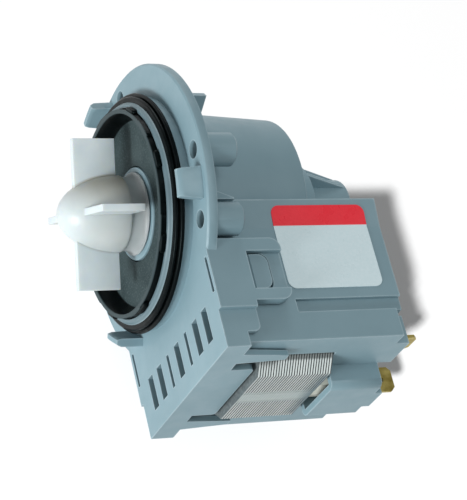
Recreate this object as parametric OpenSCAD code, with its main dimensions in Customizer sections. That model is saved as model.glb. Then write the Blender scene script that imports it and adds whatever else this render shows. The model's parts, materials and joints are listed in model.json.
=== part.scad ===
// Washer drain pump with a permanent-magnet rotor, lying on its side with the label up.
// X runs rearward along the rotor axis, Y points from the yoke towards the rotor, Z is up.
// The origin is on the rotor axis, in the seating face of the flange.

/* [Rotor and stator] */
// Radius of the ring magnet
magnet_r = 12; // [10:0.1:13]
// Radius of the rotor shaft
shaft_r = 2; // [1.5:0.05:2.5]
// Radial running gap between magnet and wet can
rotor_gap = 1; // [0.6:0.1:1.4]
// Wall of the wet can round the rotor
can_wall = 1.5; // [1:0.1:2]
// Radial thickness of the stator poles
pole_t = 4.9; // [3.5:0.1:6]
// Length of the lamination stack
stack_len = 18.4; // [14:0.1:22]
// Thickness of one lamination
sheet_t = 0.65; // [0.5:0.05:1]
// Distance from the flange to the stack
stack_setback = 9.9; // [9.5:0.1:13]
// Distance from the rotor axis down to the outside of the yoke
yoke_drop = 48.3; // [46:0.1:52]
// Height of the yoke
yoke_h = 8.3; // [7:0.1:10]
// Width of one core leg
leg_w = 6.8; // [5.5:0.1:7.5]
// Distance between the two core legs
leg_space = 16.4; // [14:0.1:18]
// Chamfer of the yoke's outer corners
yoke_chamfer = 3.8; // [2:0.1:5]
// Half angle of the gap between the pole tips
pole_tip_angle = 28; // [20:1:40]
// Thickness of the winding on each bobbin
winding_t = 3.2; // [2:0.1:3.4]
// Length of the ring magnet
magnet_len = 19.8; // [18:0.1:20.4]

/* [Flange and spigot] */
// Radius of the locating shoulder of the spigot
spigot_r = 27.3; // [25:0.1:30]
// Wall of the spigot, from its shoulder to its bore
spigot_wall = 2.7; // [2.4:0.1:3.2]
// Width of the flange outside the spigot
rim_w = 7.7; // [7:0.1:9]
// Thickness of the flange and the front plate
flange_t = 2.4; // [2:0.1:3]
// Length of the spigot in front of the flange
spigot_len = 5.2; // [4.8:0.1:6]
// Width of the seal groove
groove_w = 2.2; // [2:0.1:2.6]
// Distance of the bayonet lugs from the edge of the flange
lug_inset = 1.6; // [1:0.1:2.4]
// Length of the bayonet lugs
lug_len = 5.7; // [5:0.1:9]
// Width of a bayonet lug at its root
lug_w = 7.6; // [6:0.1:11]
// Distance of the screw holes from the edge of the flange
hole_inset = 4; // [3:0.1:4.2]
// Diameter of a screw hole
hole_d = 4.1; // [3:0.1:4.5]
// Length of the screw bosses behind the flange
boss_len = 6.9; // [4:0.1:9]

/* [Case and hood] */
// Clearance between the coils and the case
coil_gap = 1; // [0.6:0.1:2]
// Distance by which the case leans out at its top edge
case_flare = 1; // [0.8:0.1:1.4]
// Wall of the stator case
case_wall = 1.8; // [1.2:0.1:2]
// Distance from the rotor axis down to the top edge of the case
case_top = 10; // [9.8:0.1:10.8]
// Distance by which the yoke stands out of the case
yoke_proud = 3.3; // [2.5:0.1:4]
// Rear face of the case, from the flange seat
case_end = 47; // [46.5:0.1:50]
// Distance by which the rear face steps back below the side groove
case_step = 1.9; // [1:0.1:2.2]
// Wall of the hood
hood_wall = 1.6; // [1.2:0.1:2]
// Extra radius of the hood at the flange, from its draft
hood_draft = 1.8; // [0.5:0.1:2]
// Wall of the flat rear end of the hood
hood_floor = 0.8; // [0.8:0.1:1.6]
// Rear end of the tail, from the flange seat
tail_end = 51.4; // [48:0.1:55]
// Number of ribs round the tail
tail_ribs = 8; // [4:1:10]
// Thickness of the snap loops
loop_t = 2.5; // [2:0.1:3]
// Distance from the label to the rear edge of the case
label_inset = 3.5; // [2:0.1:12]
// Distance from the label down to the side groove
label_margin = 2.6; // [1.5:0.1:8]

/* [Impeller] */
// Radius over the blade tips
blade_r = 17.6; // [14:0.1:20]
// Length of a blade along the shaft
blade_len = 10.3; // [8:0.1:12]
// Thickness of a blade
blade_t = 1.6; // [1.2:0.1:2.2]
// Number of blades
blade_count = 4; // [3:1:6]
// Radius of the hub
hub_r = 9; // [8.6:0.1:10]
// Length of the bullet-shaped hub
hub_len = 14.8; // [13.5:0.1:17]
// Free turn of the impeller to each side of the middle
free_turn = 90; // [60:1:100]

/* [Terminals] */
// Width of a push-on terminal
tab_w = 6.3; // [4.8:0.1:6.3]
// Thickness of a terminal
tab_t = 0.8; // [0.5:0.1:1]
// Distance between the two terminals
tab_space = 13; // [12:0.1:14]
// Length of a terminal behind the case
tab_len = 12; // [8:0.1:13]

/* [Hidden] */
$fn = 64;

// Clearances
fit_gap = 0.05;
seat_gap = 0.1;
body_gap = 0.3;
cut = 1;

// Colours
blue_grey = [0.55, 0.65, 0.68];
milky = [0.93, 0.94, 0.92];
graphite = [0.2, 0.21, 0.21];
rubber_black = [0.06, 0.06, 0.06];
sheet_silver = [0.66, 0.66, 0.63];
brass = [0.66, 0.58, 0.27];
copper = [0.62, 0.35, 0.2];
steel = [0.72, 0.73, 0.74];

// Flange, with the circle of the screw holes and of the lugs
flange_r = spigot_r + rim_w;
spigot_bore_r = spigot_r - spigot_wall;
hole_circle_r = flange_r - hole_inset;
lug_r = flange_r - lug_inset;

// Stator and rotor, radially
can_bore_r = magnet_r + rotor_gap;
can_r = can_bore_r + can_wall;
pole_gap = 0.5;
pole_in_r = can_r + pole_gap;
pole_out_r = pole_in_r + pole_t;
hood_gap = 0.6;
hood_bore_r = pole_out_r + hood_gap;
hood_r = hood_bore_r + hood_wall;

// Stator and rotor, along the axis
stack_x0 = flange_t + stack_setback;
stack_x1 = stack_x0 + stack_len;
magnet_lead = 2.3;
magnet_x0 = stack_x0 - magnet_lead;
magnet_x1 = magnet_x0 + magnet_len;
sleeve_r = 5;
rotor_cap_t = 1.8;
washer_t = 0.8;
thrust_gap = 0.4;
front_bush_x1 = magnet_x0 - rotor_cap_t - washer_t - thrust_gap;
rear_bush_x0 = magnet_x1 + rotor_cap_t + washer_t + thrust_gap;
bush_len = 8;
bush_r = 4;
bush_mount_r = 6.4;
bush_mount_inset = 0.8;
can_floor_x = rear_bush_x0 - thrust_gap / 2;
can_end_x = can_floor_x + can_wall;
pocket_r = bush_mount_r + fit_gap;
pocket_end_x = rear_bush_x0 + bush_len;
neck_r = pocket_r + 5.25;
neck_x1 = can_end_x + 5.2;
tail_r = pocket_r + 1.25;
tail_round = 1.1;

// Hood
hood_x0 = flange_t + seat_gap;
hood_x1 = stack_x1 + 0.15 + hood_floor;
hood_front_r = hood_r + hood_draft;
hood_round = 0.8;

// Core legs, and the bobbins and windings on them
leg_in = leg_space / 2;
leg_out = leg_in + leg_w;
yoke_top = yoke_drop - yoke_h;
bobbin_wall = 1;
bobbin_fit = 0.2;
bobbin_flange_t = 1.4;
bobbin_lip = 0.4;
bobbin_top = sqrt(pole_out_r * pole_out_r - leg_out * leg_out) + body_gap;
bobbin_bottom = yoke_top - body_gap;
tube_in_z0 = leg_in - bobbin_fit - bobbin_wall;
tube_in_z1 = leg_out + bobbin_fit + bobbin_wall;
tube_x0 = stack_x0 - bobbin_fit - bobbin_wall;
tube_x1 = stack_x1 + bobbin_fit + bobbin_wall;
case_half_w = tube_in_z1 + winding_t + bobbin_lip + coil_gap + case_wall;

// Case and the skirts of the front plate that take it
case_x0 = flange_t + seat_gap;
case_drop = yoke_drop - yoke_proud;
opening_half = leg_out + body_gap;
loop_gap = 0.6;
hook_in = case_half_w + case_flare + 0.1;
loop_in_z = case_half_w + loop_gap;
plate_half_w = loop_in_z + loop_t;
foot_half_w = plate_half_w - 1.3;
foot_t = 1.4;
plate_drop = case_drop + body_gap + foot_t;
foot_depth = 5.7;
skirt_depth = 9;
step_drop = plate_drop - 8.9;
loop_top = case_drop - 24;
loop_bottom = case_drop - 8.7;
loop_x1 = 18.2;
loop_round = 2.5;
window_x0 = 9.4;
window_x1 = 15;
window_top = loop_top + 3.2;
window_bottom = loop_bottom - 2.8;
window_round = 2.2;
window_recess = 1.5;
catch_gap = 0.4;
catch_h = loop_gap + 1.5;
flare_bend = case_top + 7;
groove_top = case_drop - 10;
groove_h = 3.1;
groove_depth = 1;
ledge_drop = groove_top + groove_h;
lower_end = case_end - case_step;

// Rear block under the terminals
block_drop = yoke_drop + 2.3;
block_x0 = stack_x1 + 1.3;
block_half = 8.3;
block_wall = 1.5;
block_round = 1.8;
key_half = 3.6;
key_len = 2;

// Terminals, their carriers and their guards
carrier_half = 3.5;
carrier_drop = case_drop - case_wall - 0.2;
tab_z = tab_space / 2;
label_tab_drop = ledge_drop + 1.1;
far_tab_drop = ledge_drop + 4.75;
far_leg_shift = 1.5;
tab_x1 = lower_end + tab_len;
tab_leg_w = 3.2;
tab_leg_x0 = lower_end - 8;
shroud_len = 3.5;
shroud_wall = 0.9;
shroud_in = tab_z + 2;
shroud_side = case_half_w - 4.3;
apron_drop = case_drop + 1.2;
apron_t = 1.2;
apron_in = 0.2;
apron_out = block_half - block_wall - 0.6;

// Spigot and what sits in it
shoulder_len = 2.1;
lip_r = spigot_r - 1.4;
groove_r = lip_r - 0.6;
dish_front = 6.7;
dish_floor = 2.3;
dish_floor_t = 1.4;
dish_r = spigot_bore_r - body_gap;
dish_bore_r = dish_r - 0.9;
collar_r = 10.9;
collar_front = 2.6;
carrier_flange_r = 16;
carrier_flange_t = 0.8;
ring_r = 0.85;
ring_mid_r = carrier_flange_r + 2;

// Impeller hub and its lost-motion coupling
blade_turn = 24.6;
hub_x1 = -6.9;
blade_x1 = hub_x1 - 0.4;
hub_cap_x1 = -collar_front - body_gap;
cap_skirt_r = collar_r - 1.1;
cavity_r = 6.5;
cavity_x0 = hub_x1 - 5.6;
cap_plug = 1;
dog_r = cavity_r - 0.4;
dog_collar_r = 3.4;
dog_half_angle = 30;
stop_half_angle = 30;
stop_margin = 3;
damper_angle = 180 - dog_half_angle - stop_half_angle - free_turn - stop_margin;
shaft_x0 = cavity_x0 - 4;

// Screw holes and bayonet lugs, as angles from +Y towards +Z
hole_r = hole_d / 2;
boss_r = 3.8;
boss_edge = 0.5;
hole_angles = [2, 92.6, 122];
lug_angles = [107.7, -12.3];
lug_t = 2;

// The third lug stands further in and out of step, so the pump goes in only one way round
key_lug_angle = -139.2;
key_lug_gap = 2;
key_lug_r = spigot_r + key_lug_gap + lug_t;
key_lug_len = lug_len + 0.6;

// Points of a rounded rear edge, of radius and X, from the rim inwards
function edge_points(rim_r, x1, edge) =
    [for (a = [0 : 15 : 90]) [rim_r - edge * (1 - cos(a)), x1 - edge * (1 - sin(a))]];

// A flat outline in Y and Z, carried along X
module along_x(x0, x1) {
    translate([x0, 0, 0]) rotate([90, 0, 90]) linear_extrude(x1 - x0) children();
}

// A flat outline in X and Z, carried down Y from y1 to y0
module along_y(y0, y1) {
    translate([0, y1, 0]) rotate([90, 0, 0]) linear_extrude(y1 - y0) children();
}

// A flat outline in X and Y, carried along Z
module along_z(z0, z1) {
    translate([0, 0, z0]) linear_extrude(z1 - z0) children();
}

// A profile of radius and X, turned about the rotor axis from a start angle
module turned(start = 0, angle = 360) {
    rotate([90, 0, 90]) rotate([0, 0, start]) rotate_extrude(angle = angle) children();
}

module rod(r, x0, x1) {
    along_x(x0, x1) circle(r);
}

module sleeve(r_out, r_in, x0, x1) {
    along_x(x0, x1) difference() {
        circle(r_out);
        circle(r_in);
    }
}

// Both sides of the pump, label side and far side
module both_sides() {
    children();
    mirror([0, 0, 1]) children();
}

module at_angle(a) {
    rotate([a, 0, 0]) children();
}

module rect(a0, a1, b0, b1) {
    translate([a0, b0]) square([a1 - a0, b1 - b0]);
}

module round_rect(a0, a1, b0, b1, r) {
    rect(a0 + r, a1 - r, b0, b1);
    rect(a0, a1, b0 + r, b1 - r);
    for (a = [a0 + r, a1 - r], b = [b0 + r, b1 - r]) translate([a, b]) circle(r);
}

// Section of the stator case in Y and Z, upright sides that lean out at the top
module case_section(inset, top) {
    half = case_half_w - inset;
    lean = case_flare * (flare_bend - top) / (flare_bend - case_top);
    polygon([
        [inset - case_drop, -half], [-flare_bend, -half], [-top, -half - lean],
        [-top, half + lean], [-flare_bend, half], [inset - case_drop, half]
    ]);
}

module spigot() {
    lip_chamfer = 0.6;
    groove_x1 = -shoulder_len - groove_w;
    turned() polygon([
        [spigot_bore_r, flange_t / 2], [spigot_r, flange_t / 2], [spigot_r, -shoulder_len],
        [groove_r, -shoulder_len], [groove_r, groove_x1], [lip_r, groove_x1],
        [lip_r - lip_chamfer, -spigot_len], [spigot_bore_r, -spigot_len]
    ]);
}

// Round flange with a bevelled rim, and the square plate that runs down from it
module flange_and_plate() {
    rim_bevel = 0.4;
    corner = 1.5;
    turned() polygon([
        [can_bore_r, 0], [flange_r - rim_bevel, 0], [flange_r, rim_bevel],
        [flange_r, flange_t], [can_bore_r, flange_t]
    ]);
    along_x(0, flange_t) {
        rect(-step_drop, -loop_top, -plate_half_w, plate_half_w);
        round_rect(-plate_drop, -loop_bottom, -foot_half_w, foot_half_w, corner);
    }
}

module bayonet_lug(r, len) {
    tip_w = lug_w - 1.4;
    bevel = 1;
    sweep = 30;
    intersection() {
        turned(-sweep, 2 * sweep) polygon([
            [r - lug_t, flange_t / 2], [r, flange_t / 2], [r, bevel - len],
            [r - 0.6, -len], [r - lug_t + 0.3, -len], [r - lug_t, bevel - len]
        ]);
        along_y(0, r + cut) polygon([
            [flange_t / 2, -lug_w / 2], [flange_t / 2, lug_w / 2],
            [-len, tip_w / 2], [-len, -tip_w / 2]
        ]);
    }
}

module bayonet_lugs() {
    for (a = lug_angles) at_angle(a) bayonet_lug(lug_r, lug_len);
    at_angle(key_lug_angle) bayonet_lug(key_lug_r, key_lug_len);
}

module screw_bosses() {
    boss_x1 = flange_t + boss_len;
    for (a = hole_angles) at_angle(a) translate([0, hole_circle_r, 0]) turned() polygon([
        [0, flange_t / 2], [boss_r, flange_t / 2], [boss_r, boss_x1 - boss_edge],
        [boss_r - boss_edge, boss_x1], [0, boss_x1]
    ]);
}

module screw_holes() {
    for (a = hole_angles) at_angle(a) translate([0, hole_circle_r, 0])
        rod(hole_r, -cut, flange_t + boss_len + cut);
}

// Sealed can round the rotor, its neck with the pocket of the rear bearing, and the ribbed tail
module wet_can() {
    rib_t = 1.2;
    rib_root = tail_r - 0.5;
    rib_top = neck_r - 0.3;
    rib_x1 = tail_end - tail_round;
    turned() polygon(concat(
        [[0, flange_t / 2], [can_r, flange_t / 2], [can_r, can_floor_x],
         [can_r - can_wall, can_end_x], [neck_r, can_end_x]],
        edge_points(neck_r, neck_x1, 0.4),
        [[tail_r, neck_x1]],
        edge_points(tail_r, tail_end, tail_round),
        [[0, tail_end]]
    ));
    for (i = [0 : tail_ribs - 1]) at_angle((i + 0.5) * 360 / tail_ribs)
        along_z(-rib_t / 2, rib_t / 2) polygon([
            [neck_x1 - cut, rib_root], [neck_x1 - cut, rib_top], [neck_x1, rib_top],
            [rib_x1, tail_r], [rib_x1, rib_root]
        ]);
}

// Snap loop and skirt on one side of the front plate
module side_skirt() {
    root_x = flange_t / 2;
    tab_x = skirt_depth;
    tab_round = 1.5;
    tab_end = step_drop + 3.9;
    difference() {
        along_z(loop_in_z, plate_half_w) difference() {
            union() {
                rect(root_x, skirt_depth, -step_drop, -loop_top);
                round_rect(root_x, loop_x1, -loop_bottom, -loop_top, loop_round);
            }
            rect(window_x0, window_x1 - window_round, -window_bottom, -window_top);
            round_rect(window_x0, window_x1, -window_bottom, -window_top, window_round);
        }
        along_z(plate_half_w - window_recess, plate_half_w + cut)
            rect(window_x0, loop_x1 + cut, -window_bottom, -window_top);
    }
    along_z(loop_in_z, foot_half_w) {
        rect(root_x, tab_x, -tab_end, -loop_bottom);
        rect(root_x, tab_x - tab_round, -tab_end - tab_round, -loop_bottom);
        translate([tab_x - tab_round, -tab_end]) circle(tab_round);
        rect(root_x, foot_depth, -plate_drop + foot_t / 2, -loop_bottom);
    }
}

// Bottom edge of the front plate, with its tongue and its two tapered fingers
module foot() {
    tongue_half = yoke_drop / 4;
    tongue_x1 = stack_x0 - 0.8;
    finger_x1 = stack_x0 + 5;
    finger_in = opening_half + 1.1;
    finger_out = finger_in + 2;
    finger_root_in = opening_half - 0.5;
    finger_root_out = finger_root_in + 5.7;
    along_y(-plate_drop, -plate_drop + foot_t) {
        rect(0, foot_depth, -foot_half_w, foot_half_w);
        round_rect(0, tongue_x1, -tongue_half, tongue_half, 1);
    }
    both_sides() along_y(-plate_drop, -plate_drop + foot_t)
        polygon([[0, finger_root_in], [finger_x1, finger_in], [finger_x1, finger_out], [0, finger_root_out]]);
}

// Short hooks behind the flange that hold down the hood and its guide fins
module hood_hooks() {
    hook_w = 2.4;
    hook_z = case_half_w + case_flare + 0.2;
    hook_x0 = flange_t + 3.6;
    hook_x1 = flange_t + 7.2;
    hook_top = case_top - 0.7;
    hook_bottom = case_top + 1.3;
    both_sides() along_z(hook_z, hook_z + hook_w) polygon([
        [flange_t / 2, -hook_top], [hook_x0, -hook_top], [hook_x1, 0.4 - hook_bottom],
        [hook_x1, -hook_bottom], [flange_t / 2, -hook_bottom]
    ]);
    fin_angle = 53.5;
    fin_t = 1.6;
    fin_r = flange_r - 5.1;
    fin_in = hood_front_r + body_gap;
    both_sides() at_angle(fin_angle) along_z(-fin_t / 2, fin_t / 2) polygon([
        [flange_t / 2, fin_r], [flange_t + 7.9, fin_r], [flange_t + 7.1, fin_in], [flange_t / 2, fin_in]
    ]);
}

module vent_slots() {
    slot_pitch = 5.75;
    slot_wide = 2.8;
    slot_thin = 1.3;
    slot_h = 8;
    slot_bottom = plate_drop - 4.7;
    slot_top = slot_bottom - slot_h;
    for (i = [-3 : 3]) {
        w = abs(i) == 1 ? slot_thin : slot_wide;
        along_x(-cut, flange_t + cut)
            rect(-slot_bottom, -slot_top, i * slot_pitch - w / 2, i * slot_pitch + w / 2);
    }
    side_slot_w = 1;
    side_slot_z = plate_half_w - 2;
    both_sides() along_x(-cut, flange_t + cut)
        rect(-step_drop + 4.5, -window_top - 0.6, side_slot_z, side_slot_z + side_slot_w);
}

module pump_body() {
    color(blue_grey) difference() {
        union() {
            flange_and_plate();
            spigot();
            bayonet_lugs();
            wet_can();
            foot();
            both_sides() side_skirt();
            difference() {
                union() {
                    screw_bosses();
                    hood_hooks();
                }
                along_x(flange_t, tail_end) rect(-case_drop, -case_top + body_gap, -hook_in, hook_in);
            }
        }
        rod(can_bore_r, -spigot_len, can_floor_x);
        rod(pocket_r, can_floor_x - cut, pocket_end_x);
        turned() translate([ring_mid_r, 0]) circle(ring_r + fit_gap);
        screw_holes();
        vent_slots();
    }
}

// Form of the hood, grown or shrunk in radius: a drafted drum with a flat rear end
module hood_form(grow, x0, x1) {
    turned() polygon(concat(
        [[0, x0], [hood_front_r + grow, x0]], edge_points(hood_r + grow, x1, hood_round), [[0, x1]]
    ));
}

module stator_hood() {
    color(blue_grey) difference() {
        hood_form(0, hood_x0, hood_x1);
        hood_form(-hood_wall, hood_x0 - cut, hood_x1 - hood_floor);
        rod(can_r + body_gap, hood_x0, tail_end);
        along_x(0, tail_end) rect(-flange_r, -case_top - 1.5, -flange_r, flange_r);
    }
}

// Catch under the snap loop, on one side of the case
module case_catch() {
    ramp = 0.6;
    z0 = case_half_w - case_wall / 2;
    z1 = case_half_w + catch_h;
    x0 = window_x0 + catch_gap;
    x1 = window_x1 - catch_gap;
    r = window_round;
    intersection() {
        along_z(z0, z1) {
            rect(x0, x1 - r, catch_gap - window_bottom, -window_top - catch_gap);
            round_rect(x0, x1, catch_gap - window_bottom, -window_top - catch_gap, r);
        }
        along_y(-window_bottom, -window_top)
            polygon([[x0, z0], [x1, z0], [x1, z1], [x0 + ramp, z1], [x0, z1 - ramp]]);
    }
}

// Guard beside and below one terminal
module terminal_shroud() {
    along_x(lower_end - case_wall / 2, lower_end + shroud_len) {
        rect(-case_drop, shroud_wall - case_drop, shroud_in, shroud_side);
        rect(-case_drop, 0.1 - ledge_drop, shroud_side - shroud_wall, shroud_side);
    }
}

// Case with its rear face stepped back below the groove, and the block under the terminals
module case_outside() {
    difference() {
        along_x(case_x0, case_end) case_section(0, case_top);
        along_x(lower_end, case_end + cut)
            rect(-case_drop - cut, -ledge_drop, -plate_half_w, plate_half_w);
    }
    along_x(block_x0, lower_end)
        round_rect(-block_drop, case_wall - case_drop, -block_half, block_half, block_round);
    along_x(lower_end - cut, lower_end + key_len)
        rect(-block_drop, block_wall - block_drop, -key_half, key_half);
    both_sides() {
        case_catch();
        terminal_shroud();
    }
}

module stator_case() {
    slot = 0.3;
    inner_x1 = lower_end - case_wall;
    inner_half = case_half_w - case_wall;
    block_in = block_half - block_wall;
    color(blue_grey) difference() {
        case_outside();
        along_x(case_x0 - cut, inner_x1) case_section(case_wall, case_top + case_wall);
        along_x(inner_x1 - cut, case_end - case_wall)
            rect(case_wall - ledge_drop, -flare_bend, -inner_half, inner_half);
        hood_form(body_gap, case_x0 - cut, hood_x1 + body_gap);
        rod(can_r + body_gap, hood_x1, can_end_x + body_gap);
        rod(neck_r + body_gap, hood_x1, neck_x1 + body_gap);
        along_x(case_x0 - cut, stack_x1 + body_gap)
            rect(-case_drop - cut, case_wall - case_drop + cut, -opening_half, opening_half);
        along_x(stack_x1, inner_x1)
            rect(block_wall - block_drop, case_wall - case_drop + cut, -block_in, block_in);
        both_sides() along_z(case_half_w - groove_depth, case_half_w + cut)
            rect(loop_x1 + 2, case_end + cut, -ledge_drop, -groove_top);
        at_label_tab() leg_slot(0, slot);
        at_far_tab() leg_slot(far_leg_shift, slot);
    }
}

module rating_label() {
    sticker_t = 0.15;
    sticker_round = 2;
    x0 = loop_x1 + 1.3;
    y0 = label_margin - groove_top;
    y1 = -case_top - 1.6;
    color(milky) intersection() {
        along_z(case_half_w, case_half_w + case_flare + sticker_t)
            round_rect(x0, case_end - label_inset, y0, y1, sticker_round);
        along_x(case_x0, case_end) difference() {
            case_section(-sticker_t, case_top);
            case_section(0, case_top);
        }
    }
}

// Rubber ring on the spigot, with two round sealing beads
module flange_seal() {
    seal_in = groove_r + fit_gap;
    x1 = -shoulder_len - fit_gap;
    x0 = -shoulder_len - groove_w + fit_gap;
    bead = (x1 - x0) / 4;
    front_r = spigot_r - bead;
    rear_r = front_r + 0.8;
    color(rubber_black) turned() {
        rect(seal_in, front_r, x0, x1);
        rect(seal_in, rear_r, x1 - 2 * bead, x1);
        translate([front_r, x0 + bead]) circle(bead);
        translate([rear_r, x1 - bead]) circle(bead);
    }
}

// Black dished insert in the spigot, which closes the rotor chamber
module bearing_shield() {
    dish_draft = 1.6;
    tab_angle = 14;
    tab_count = 6;
    floor_back = dish_floor_t - dish_floor;
    color(graphite) {
        turned() polygon([
            [collar_r + body_gap, -dish_floor], [dish_bore_r - dish_draft, -dish_floor],
            [dish_bore_r, -dish_front], [dish_r, -dish_front],
            [dish_r, floor_back], [collar_r + body_gap, floor_back]
        ]);
        for (i = [0 : tab_count - 1]) turned(i * 360 / tab_count, tab_angle)
            rect(dish_r - 0.5, spigot_bore_r - fit_gap, -dish_front, -dish_floor);
    }
}

module shield_seal() {
    color(rubber_black) turned() translate([ring_mid_r, 0]) circle(ring_r);
}

module front_bearing_carrier() {
    ledge_x = front_bush_x1 - bush_len + bush_mount_inset - fit_gap;
    plug_r = can_bore_r - seat_gap;
    color(blue_grey) difference() {
        turned() polygon([
            [0, -collar_front], [collar_r, -collar_front], [collar_r, -carrier_flange_t],
            [carrier_flange_r, -carrier_flange_t], [carrier_flange_r, 0], [plug_r, 0],
            [plug_r, front_bush_x1 - bush_mount_inset], [0, front_bush_x1 - bush_mount_inset]
        ]);
        rod(bush_mount_r + fit_gap, ledge_x, front_bush_x1 + cut);
        rod(bush_r + 0.8, -collar_front - cut, ledge_x + cut);
    }
}

module bush_mount(x0) {
    x1 = x0 + bush_len;
    color(rubber_black)
        sleeve(bush_mount_r, bush_r + fit_gap, x0 + bush_mount_inset, x1 - bush_mount_inset);
}

module bush(x0) {
    color(graphite) sleeve(bush_r, shaft_r + fit_gap, x0, x0 + bush_len);
}

module front_bush_mount() {
    bush_mount(front_bush_x1 - bush_len);
}

module front_bush() {
    bush(front_bush_x1 - bush_len);
}

module rear_bush_mount() {
    bush_mount(rear_bush_x0);
}

module rear_bush() {
    bush(rear_bush_x0);
}

// Stack of sheets: yoke below, two legs, two poles round the can
module core_form() {
    far = 2 * pole_out_r;
    difference() {
        union() {
            rod(pole_out_r, stack_x0, stack_x1);
            along_x(stack_x0, stack_x1) polygon([
                [-yoke_drop, yoke_chamfer - leg_out], [-yoke_drop, leg_out - yoke_chamfer],
                [yoke_chamfer - yoke_drop, leg_out], [0, leg_out],
                [0, -leg_out], [yoke_chamfer - yoke_drop, -leg_out]
            ]);
        }
        along_x(stack_x0 - cut, stack_x1 + cut) {
            circle(pole_in_r);
            rect(-yoke_top, 0, -leg_in, leg_in);
            polygon([[0, 0], [far, far * tan(pole_tip_angle)], [far, -far * tan(pole_tip_angle)]]);
        }
    }
}

// The sheets show as ribs on the open yoke, apart from the smooth band where they are clinched
module stator_core() {
    sheet_count = round(stack_len / sheet_t);
    pitch = stack_len / sheet_count;
    groove = 0.25;
    clinch_half = 1.6;
    color(sheet_silver) difference() {
        core_form();
        for (i = [1 : sheet_count - 1]) both_sides()
            along_x(stack_x0 + (i - 0.3) * pitch, stack_x0 + i * pitch) polygon([
                [-yoke_drop - cut, clinch_half], [groove - yoke_drop, clinch_half],
                [groove - yoke_drop, leg_out - yoke_chamfer],
                [groove + yoke_chamfer + cut - yoke_drop, leg_out + cut], [-yoke_drop - cut, leg_out + cut]
            ]);
    }
}

// Bobbin on one leg, with the carrier of its terminal and, on the label side, a floor under the wires
module bobbin(with_floor) {
    lip = winding_t + bobbin_lip;
    carrier_x0 = tube_x1 + 2;
    carrier_x1 = lower_end - case_wall - body_gap;
    apron_x0 = stack_x1 + 0.6;
    difference() {
        union() {
            along_y(-bobbin_bottom, -bobbin_top) rect(tube_x0, tube_x1, tube_in_z0, tube_in_z1);
            for (y = [-bobbin_bottom, -bobbin_top - bobbin_flange_t]) along_y(y, y + bobbin_flange_t)
                round_rect(tube_x0 - lip, tube_x1 + lip, tube_in_z0 - lip, tube_in_z1 + lip, lip);
            along_y(-carrier_drop, -bobbin_bottom + bobbin_flange_t)
                rect(carrier_x0, carrier_x1, tab_z - carrier_half, tab_z + carrier_half);
            along_y(-apron_drop, -bobbin_bottom + bobbin_flange_t)
                rect(apron_x0, carrier_x1, apron_out - apron_t, apron_out);
            if (with_floor) along_y(-apron_drop, apron_t - apron_drop)
                rect(apron_x0, carrier_x1, apron_in, apron_out);
        }
        along_y(-bobbin_bottom - cut, -bobbin_top + cut) rect(
            stack_x0 - bobbin_fit, stack_x1 + bobbin_fit, leg_in - bobbin_fit, leg_out + bobbin_fit
        );
        rod(can_r + body_gap, 0, can_end_x + body_gap);
    }
}

module label_side_bobbin() {
    color(milky) difference() {
        bobbin(true);
        at_label_tab() leg_slot(0, seat_gap);
    }
}

module far_side_bobbin() {
    color(milky) difference() {
        mirror([0, 0, 1]) bobbin(false);
        at_far_tab() leg_slot(far_leg_shift, seat_gap);
    }
}

module winding() {
    t = winding_t;
    gap = seat_gap;
    y0 = gap + bobbin_flange_t - bobbin_bottom;
    y1 = -bobbin_top - bobbin_flange_t - gap;
    color(copper) along_y(y0, y1) difference() {
        round_rect(tube_x0 - t, tube_x1 + t, tube_in_z0 - t, tube_in_z1 + t, t);
        rect(tube_x0 - gap, tube_x1 + gap, tube_in_z0 - gap, tube_in_z1 + gap);
    }
}

module label_side_winding() {
    winding();
}

module far_side_winding() {
    mirror([0, 0, 1]) winding();
}

// Places of the two terminals: the label-side one lies flat, the far-side one stands upright
module at_label_tab() {
    translate([0, -label_tab_drop, tab_z]) rotate([90, 0, 0]) children();
}

module at_far_tab() {
    translate([0, -far_tab_drop, -tab_z]) children();
}

// Slot round the leg of a terminal
module leg_slot(leg_y, gap) {
    half = tab_leg_w / 2 + gap;
    along_z(-tab_t / 2 - gap, tab_t / 2 + gap)
        rect(tab_leg_x0 - gap, lower_end + cut, leg_y - half, leg_y + half);
}

// Flat push-on terminal with bevelled tip and detent hole, on a narrow leg
module terminal(leg_y) {
    tip = 1;
    blade_x0 = lower_end + body_gap;
    half = tab_w / 2;
    detent_r = 0.85;
    detent_x = tab_x1 - 3.4;
    color(brass) along_z(-tab_t / 2, tab_t / 2) difference() {
        union() {
            rect(tab_leg_x0, blade_x0 + cut, leg_y - tab_leg_w / 2, leg_y + tab_leg_w / 2);
            polygon([
                [blade_x0, -half], [tab_x1 - tip, -half], [tab_x1, tip - half],
                [tab_x1, half - tip], [tab_x1 - tip, half], [blade_x0, half]
            ]);
        }
        translate([detent_x, 0]) circle(detent_r);
    }
}

module label_side_terminal() {
    at_label_tab() terminal(0);
}

module far_side_terminal() {
    at_far_tab() terminal(far_leg_shift);
}

module rotor_shaft() {
    end_bevel = 0.4;
    x1 = rear_bush_x0 + bush_len - 0.6;
    color(steel) turned() polygon([
        [0, shaft_x0], [shaft_r - end_bevel, shaft_x0], [shaft_r, shaft_x0 + end_bevel],
        [shaft_r, x1 - end_bevel], [shaft_r - end_bevel, x1], [0, x1]
    ]);
}

// Plastic sleeve that carries the magnet, with its front cap in one piece
module rotor_carrier() {
    color(graphite) difference() {
        union() {
            rod(magnet_r, magnet_x0 - rotor_cap_t, magnet_x0);
            rod(sleeve_r, magnet_x0 - cut, magnet_x1);
        }
        rod(shaft_r + fit_gap, 0, tail_end);
    }
}

module rotor_magnet() {
    color([0.25, 0.25, 0.27]) sleeve(magnet_r, sleeve_r + fit_gap, magnet_x0 + fit_gap, magnet_x1 - fit_gap);
}

module rotor_end_cap() {
    color(graphite) sleeve(magnet_r, shaft_r + fit_gap, magnet_x1 + fit_gap, magnet_x1 + rotor_cap_t);
}

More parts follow.
